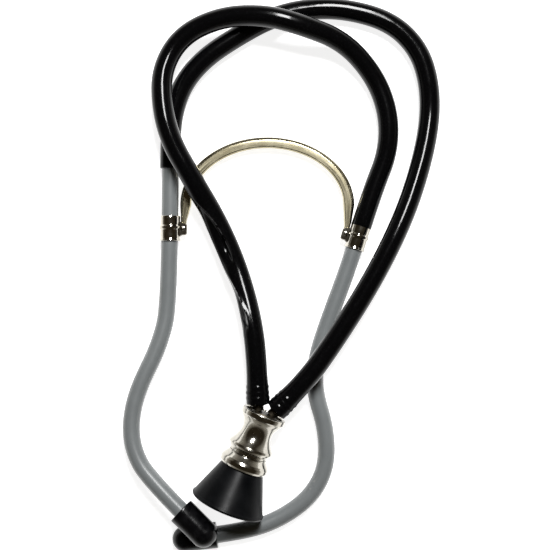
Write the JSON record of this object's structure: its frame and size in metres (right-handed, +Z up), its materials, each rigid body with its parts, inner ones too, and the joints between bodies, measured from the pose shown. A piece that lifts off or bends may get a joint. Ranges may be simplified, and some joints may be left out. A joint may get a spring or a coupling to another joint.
{
  "type": "stethoscope",
  "caption": "Stethoscope lying flat: cone bell on a turned chestpiece, long black hoses, grey bent ear tubes on a flat spring arch, domed ear tips.",
  "frame": {"origin": "on the table under the middle of the rigid pieces, the hoses left out", "axes": "+Z up from the table, +Y from the bell towards the hose loops, +X to the right seen from above"},
  "size_m": [0.1766, 0.3093, 0.0416],
  "materials": {
    "bell_black": "satin moulded black",
    "gasket_rubber": "matt",
    "nickel": "polished nickel plate, lightly worn",
    "spring_steel": "satin nickelled strip with bright edges",
    "clamp_nickel": "polished nickel plate",
    "tube_grey": "semi-gloss grey enamel",
    "ferrule_nickel": "nickel plate",
    "tip_black": "glossy black",
    "hose_rubber": "glossy black rubber"
  },
  "bodies": {
    "frame": {"spring_arch": "spring_steel", "chest_body": "nickel", "manifold": "nickel", "nipple_left": "nickel", "nipple_right": "nickel", "hose_left": "hose_rubber", "hose_right": "hose_rubber"},
    "arm_left": {"clamp_left": "clamp_nickel", "clamp_rivet_left": "clamp_nickel"},
    "arm_right": {"clamp_right": "clamp_nickel", "clamp_rivet_right": "clamp_nickel"},
    "tube_left": {"ear_tube_left": "tube_grey", "tip_ferrule_left": "ferrule_nickel"},
    "tube_right": {"ear_tube_right": "tube_grey", "tip_ferrule_right": "ferrule_nickel"},
    "tip_left": {"ear_tip_left": "tip_black"},
    "tip_right": {"ear_tip_right": "tip_black"},
    "bell_head": {"bell": "bell_black", "bell_gasket": "gasket_rubber"},
    "ring": {"coupling_ring": "nickel"}
  },
  "joints": [
    {"name": "spread_left", "type": "hinge", "parent": "frame", "child": "arm_left", "pos_m": [-0.0181, 0.0991, 0.00615], "axis": [0, 0, -1], "range_deg": [0, 20], "deforming": ["spring_arch", "hose_left", "hose_right"]},
    {"name": "spread_right", "type": "hinge", "parent": "frame", "child": "arm_right", "pos_m": [0.0401, 0.0991, 0.00615], "axis": [0, 0, 1], "range_deg": [0, 20], "deforming": ["spring_arch", "hose_left", "hose_right"]},
    {"name": "swivel_left", "type": "hinge", "parent": "arm_left", "child": "tube_left", "pos_m": [-0.04339, 0.0638, 0.00619], "axis": [-0.0027, -1, 0.0054], "range_deg": [0, 30]},
    {"name": "swivel_right", "type": "hinge", "parent": "arm_right", "child": "tube_right", "pos_m": [0.06169, 0.05883, 0.00615], "axis": [-0.3015, -0.9535, 0], "range_deg": [0, 25]},
    {"name": "tip_left_pull", "type": "slide", "parent": "tube_left", "child": "tip_left", "axis": [0.7207, -0.6849, 0.1072], "range_m": [0, 0.01]},
    {"name": "tip_right_pull", "type": "slide", "parent": "tube_right", "child": "tip_right", "axis": [-0.9929, -0.119, 0], "range_m": [0, 0.01]},
    {"name": "bell_off", "type": "slide", "parent": "frame", "child": "bell_head", "axis": [-0.3744, -0.9266, -0.0349], "range_m": [0, 0.0031]},
    {"name": "ring_turn", "type": "hinge", "parent": "bell_head", "child": "ring", "pos_m": [-0.00107, -0.06391, 0.02171], "axis": [-0.3744, -0.9266, -0.0349], "range_deg": [0, 1080]}
  ],
  "couplings": [
    {"joint": "spread_right", "follows": "spread_left", "ratio": 1},
    {"joint": "bell_off", "follows": "ring_turn", "m_per_rad": 0.00015915}
  ]
}
